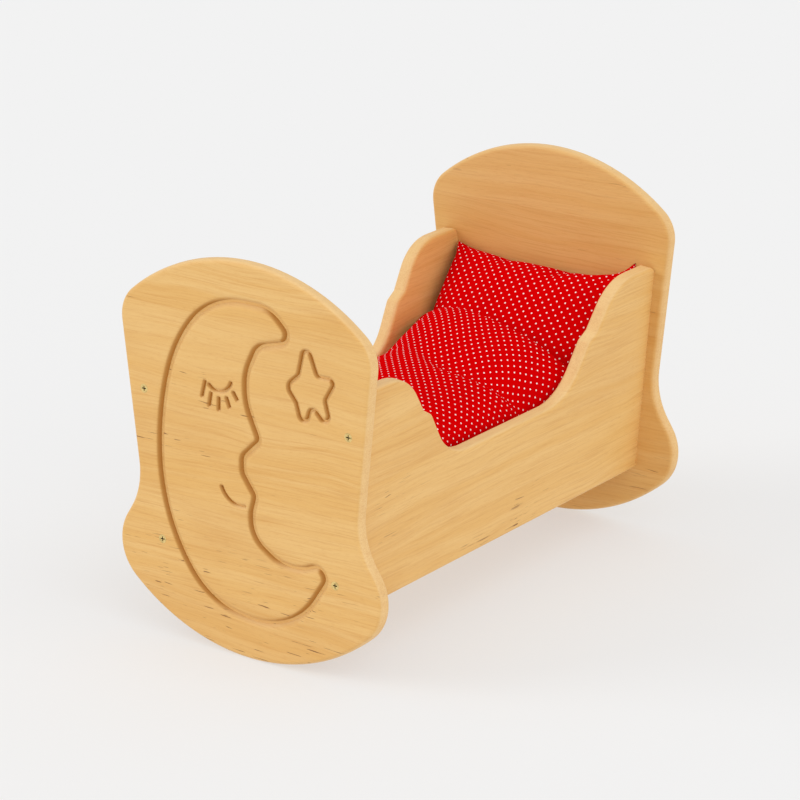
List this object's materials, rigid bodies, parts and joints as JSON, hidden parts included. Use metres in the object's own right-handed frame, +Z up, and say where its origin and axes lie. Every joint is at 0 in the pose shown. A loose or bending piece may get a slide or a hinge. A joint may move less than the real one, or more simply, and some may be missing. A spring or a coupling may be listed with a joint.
{
  "type": "doll cradle",
  "caption": "Wooden rocking cradle for dolls with curved rocker end boards, leaning scooped sides, a carved sleeping moon with a star, and a red dotted mattress, pillow and quilt.",
  "frame": {"origin": "on the floor under the middle of the cradle, level with the lowest line of the rockers", "axes": "+X across the cradle in the rocking direction, +Y along it from the carved foot board to the head board, +Z up"},
  "size_m": [0.32, 0.526, 0.4],
  "materials": {
    "end_boards": "clear matt oil on solid alder",
    "side_boards": "clear matt oil on solid alder",
    "ledges": "planed softwood strip",
    "base": "sanded birch plywood",
    "screws": "yellow passivated countersunk screws",
    "mattress_cotton": "red cotton with small white dots",
    "red_dotted_cotton": "red cotton with small white dots",
    "filling": "white polyester fibre and foam"
  },
  "bodies": {
    "cradle": {"foot_board": "end_boards", "head_board": "end_boards", "side_board_left": "side_boards", "side_board_right": "side_boards", "base_ledge_left": "ledges", "base_ledge_right": "ledges", "base_board": "base", "foot_board_screws": "screws", "head_board_screws": "screws", "ledge_screws": "screws", "base_screws": "screws"},
    "mattress": {"mattress_cover": "mattress_cotton", "mattress_filling": "filling"},
    "pillow": {"pillow_cover": "red_dotted_cotton", "pillow_filling": "filling"},
    "quilt": {"quilt_cover": "red_dotted_cotton", "quilt_filling": "filling"}
  },
  "joints": [
    {"name": "mattress_lift", "type": "slide", "parent": "cradle", "child": "mattress", "axis": [0, 0, 1], "range_m": [0, 0.35]},
    {"name": "pillow_lift", "type": "slide", "parent": "mattress", "child": "pillow", "axis": [0, 0, 1], "range_m": [0, 0.35]},
    {"name": "quilt_lift", "type": "slide", "parent": "pillow", "child": "quilt", "axis": [0, 0, 1], "range_m": [0, 0.35]}
  ]
}
